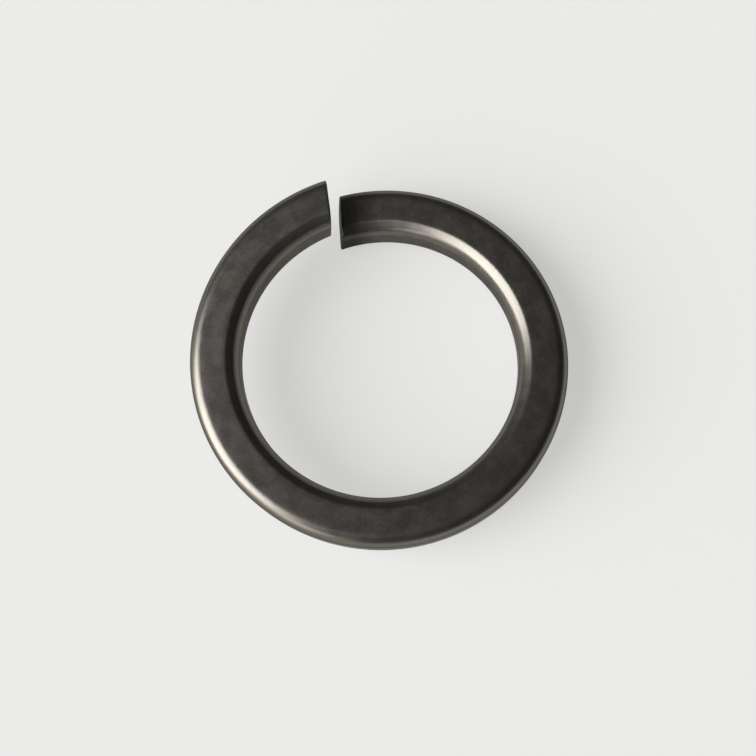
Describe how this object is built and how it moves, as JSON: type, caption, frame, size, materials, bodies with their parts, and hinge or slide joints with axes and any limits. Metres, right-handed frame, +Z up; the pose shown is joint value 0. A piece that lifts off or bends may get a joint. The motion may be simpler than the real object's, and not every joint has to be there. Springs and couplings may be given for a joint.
{
  "type": "spring lock washer",
  "caption": "Split spring lock washer: a helical ring of round-cornered, nearly square steel wire, whose slanted plain ends bite so that a tightened screw or nut stays put.",
  "frame": {"origin": "on the hole's axis, at the level of the lower end's foot", "axes": "+Z up along the hole's axis; +Y towards the slit; +X towards the side where the lower end starts, and seen from above the wire climbs clockwise from there"},
  "size_m": [0.0384, 0.0384, 0.01],
  "materials": {
    "dark_spring_steel": "plain dark grey spring steel, tumbled smooth, with worn bright corners"
  },
  "bodies": {
    "root": {"spring_lock_washer": "dark_spring_steel"}
  },
  "joints": []
}
